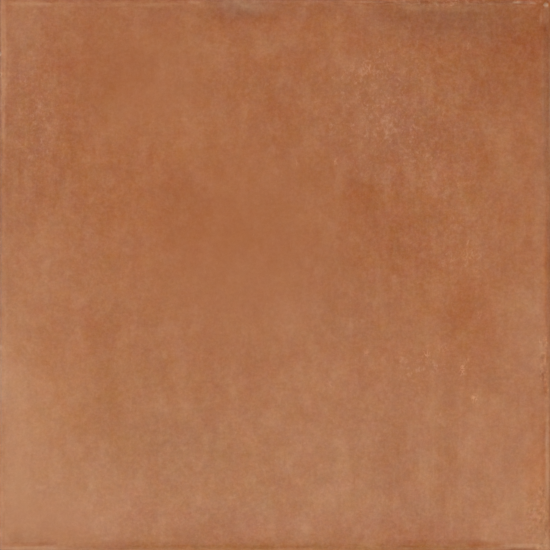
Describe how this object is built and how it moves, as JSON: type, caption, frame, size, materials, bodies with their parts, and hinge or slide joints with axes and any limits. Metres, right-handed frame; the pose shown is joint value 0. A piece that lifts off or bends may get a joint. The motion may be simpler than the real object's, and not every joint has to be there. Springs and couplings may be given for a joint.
{
  "type": "square tile",
  "caption": "Square terracotta-coloured floor tile with rolled face edges, upright joint faces, a drawn-in foot and a back keyed for mortar",
  "frame": {"origin": "middle of the back, on the plane that the tile beds on", "axes": "+Z points out of the walked-on face; X and Y are square to the four sides, and +Y is the picture's upper side"},
  "size_m": [0.3, 0.3, 0.01],
  "materials": {
    "fired_clay": "matte"
  },
  "bodies": {
    "root": {"square_tile": "fired_clay"}
  },
  "joints": []
}
